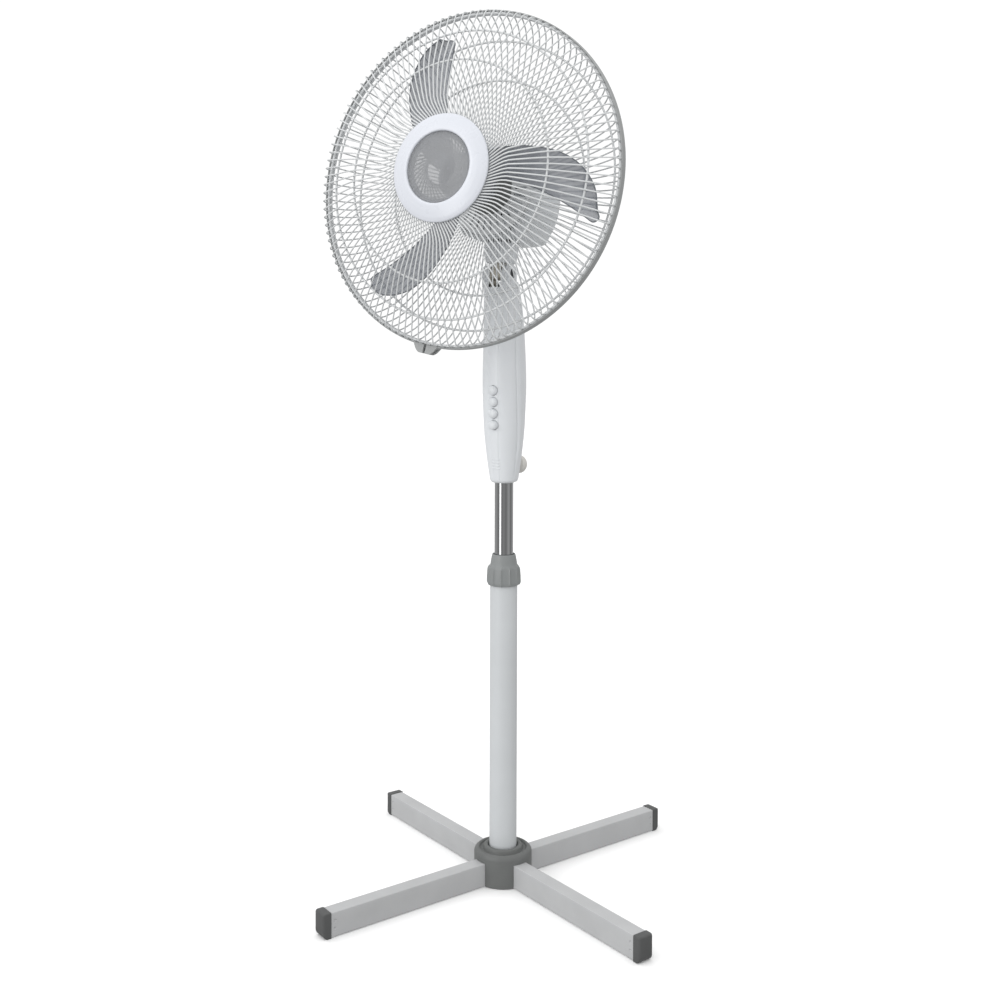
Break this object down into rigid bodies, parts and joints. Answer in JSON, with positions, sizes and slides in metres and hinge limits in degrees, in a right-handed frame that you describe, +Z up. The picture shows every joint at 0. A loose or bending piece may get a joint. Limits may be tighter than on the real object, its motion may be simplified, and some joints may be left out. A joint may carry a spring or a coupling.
{
  "type": "pedestal fan",
  "caption": "Oscillating fan with a round wire cage on a height-adjustable pole and a crossed-bar base, push buttons on the column.",
  "frame": {"origin": "on the floor at the foot of the pole, at the centre of the base cross", "axes": "+Z up along the pole; the fan blows towards -Y at rest; +X is to the right seen from the front"},
  "size_m": [0.5164, 0.5164, 1.1369],
  "materials": {
    "leg_paint": "satin powder coat",
    "pole_paint": "satin powder coat",
    "dark_plastic": "fine moulded texture",
    "cap_plastic": "fine moulded texture",
    "collar_plastic": "satin moulded",
    "chrome": "polished",
    "white_gloss": "glossy moulded",
    "button_plastic": "glossy moulded",
    "wire_paint": "satin dip coat",
    "band_plastic": "satin moulded",
    "blade_plastic": "smoky translucent",
    "badge_ring": "glossy moulded",
    "badge_disc": "smoky satin, plain",
    "steel": "zinc plated",
    "cast_zinc": "as cast",
    "laminations": "stacked sheet",
    "bronze": "sintered",
    "black_plastic": "moulded",
    "gear_plastic": "moulded acetal"
  },
  "bodies": {
    "base": {"base_bar_lower": "leg_paint", "base_bar_upper": "leg_paint", "foot_cap_1": "cap_plastic", "foot_cap_2": "cap_plastic", "foot_cap_3": "cap_plastic", "foot_cap_4": "cap_plastic", "base_screw_1": "steel", "base_screw_2": "steel", "base_hub_cover": "dark_plastic", "pole_foot": "cast_zinc", "stand_tube": "pole_paint", "collet": "gear_plastic"},
    "collar": {"collar_nut": "collar_plastic"},
    "tube_guide": {"tube_guide_bush": "gear_plastic"},
    "column": {"inner_tube": "chrome", "tube_socket": "gear_plastic", "housing_front": "white_gloss", "housing_rear": "white_gloss", "switch_block": "black_plastic", "capacitor": "gear_plastic", "housing_screw_1": "steel", "housing_screw_2": "steel", "cord_gland": "black_plastic", "tilt_bracket": "steel", "tilt_bolt": "steel", "tilt_nut": "steel"},
    "lock_knob": {"lock_knob": "white_gloss"},
    "button_off": {"push_button_off": "button_plastic"},
    "button_low": {"push_button_low": "button_plastic"},
    "button_mid": {"push_button_mid": "button_plastic"},
    "button_high": {"push_button_high": "button_plastic"},
    "neck": {"tilt_neck": "white_gloss", "swivel_pin": "steel"},
    "motor": {"motor_front_cover": "white_gloss", "motor_rear_cover": "white_gloss", "stator": "laminations", "front_end_bell": "cast_zinc", "rear_end_bell": "cast_zinc", "front_bearing": "bronze", "rear_bearing": "bronze", "swivel_bracket": "cast_zinc", "gear_case": "cast_zinc", "rear_cover_screw": "steel", "rear_guard": "wire_paint", "rear_guard_nut": "dark_plastic", "front_guard": "wire_paint", "rim_band": "band_plastic", "rim_screw": "steel", "rim_nut": "steel", "badge_ring": "badge_ring", "badge_disc": "badge_disc"},
    "rotor": {"rotor": "laminations", "motor_shaft": "steel", "fan_blade": "blade_plastic", "blade_nut": "blade_plastic"},
    "worm_wheel": {"worm_wheel": "gear_plastic"},
    "crank": {"crank_disc": "steel"},
    "link_rod": {"link_rod": "steel"},
    "swivel_knob": {"swivel_knob": "white_gloss"}
  },
  "joints": [
    {"name": "collar_turn", "type": "hinge", "parent": "base", "child": "collar", "pos_m": [0, 0, 0.415], "axis": [0, 0, 1], "range_deg": [0, 180]},
    {"name": "height_slide", "type": "slide", "parent": "base", "child": "tube_guide", "axis": [0, 0, 1], "range_m": [-0.09, 0.11]},
    {"name": "column_turn", "type": "hinge", "parent": "tube_guide", "child": "column", "pos_m": [0, 0, 0.5], "axis": [0, 0, 1], "continuous": true},
    {"name": "lock_knob_turn", "type": "hinge", "parent": "column", "child": "lock_knob", "pos_m": [0, 0.03, 0.552], "axis": [0, 1, 0], "range_deg": [0, 360]},
    {"name": "head_tilt", "type": "hinge", "parent": "column", "child": "neck", "pos_m": [0, -0.014, 0.808], "axis": [-1, 0, 0], "range_deg": [-15, 12]},
    {"name": "oscillation", "type": "hinge", "parent": "neck", "child": "motor", "pos_m": [0, -0.00801, 0.84703], "axis": [0, 0.1279, 0.9918], "range_deg": [-45, 45]},
    {"name": "blade_spin", "type": "hinge", "parent": "motor", "child": "rotor", "pos_m": [0, -0.099, 0.9233], "axis": [0, -0.9918, 0.1279], "continuous": true},
    {"name": "worm_wheel_turn", "type": "hinge", "parent": "motor", "child": "worm_wheel", "pos_m": [0.0142, 0.0453, 0.90469], "axis": [0, 0.1279, 0.9918], "continuous": true},
    {"name": "crank_turn", "type": "hinge", "parent": "motor", "child": "crank", "pos_m": [0.0047, 0.03891, 0.8551], "axis": [0, 0.1279, 0.9918], "range_deg": [-90, 90]},
    {"name": "link_rod_turn", "type": "hinge", "parent": "neck", "child": "link_rod", "pos_m": [0.016, -0.00667, 0.85745], "axis": [0, 0.1279, 0.9918], "range_deg": [-45, 45]},
    {"name": "swivel_knob_pull", "type": "slide", "parent": "motor", "child": "swivel_knob", "axis": [0, 0.1279, 0.9918], "range_m": [0, 0.008]},
    {"name": "button_off_press", "type": "slide", "parent": "column", "child": "button_off", "axis": [0, 1, 0], "range_m": [0, 0.0035], "stiffness_N_per_m": 300, "springref_m": -0.001},
    {"name": "button_low_press", "type": "slide", "parent": "column", "child": "button_low", "axis": [0, 1, 0], "range_m": [0, 0.0035], "stiffness_N_per_m": 300, "springref_m": -0.001},
    {"name": "button_mid_press", "type": "slide", "parent": "column", "child": "button_mid", "axis": [0, 1, 0], "range_m": [0, 0.0035], "stiffness_N_per_m": 300, "springref_m": -0.001},
    {"name": "button_high_press", "type": "slide", "parent": "column", "child": "button_high", "axis": [0, 1, 0], "range_m": [0, 0.0035], "stiffness_N_per_m": 300, "springref_m": -0.001}
  ],
  "couplings": [
    {"joint": "worm_wheel_turn", "follows": "blade_spin", "ratio": 0.05},
    {"joint": "crank_turn", "follows": "oscillation", "ratio": -2},
    {"joint": "link_rod_turn", "follows": "oscillation", "ratio": 1}
  ]
}
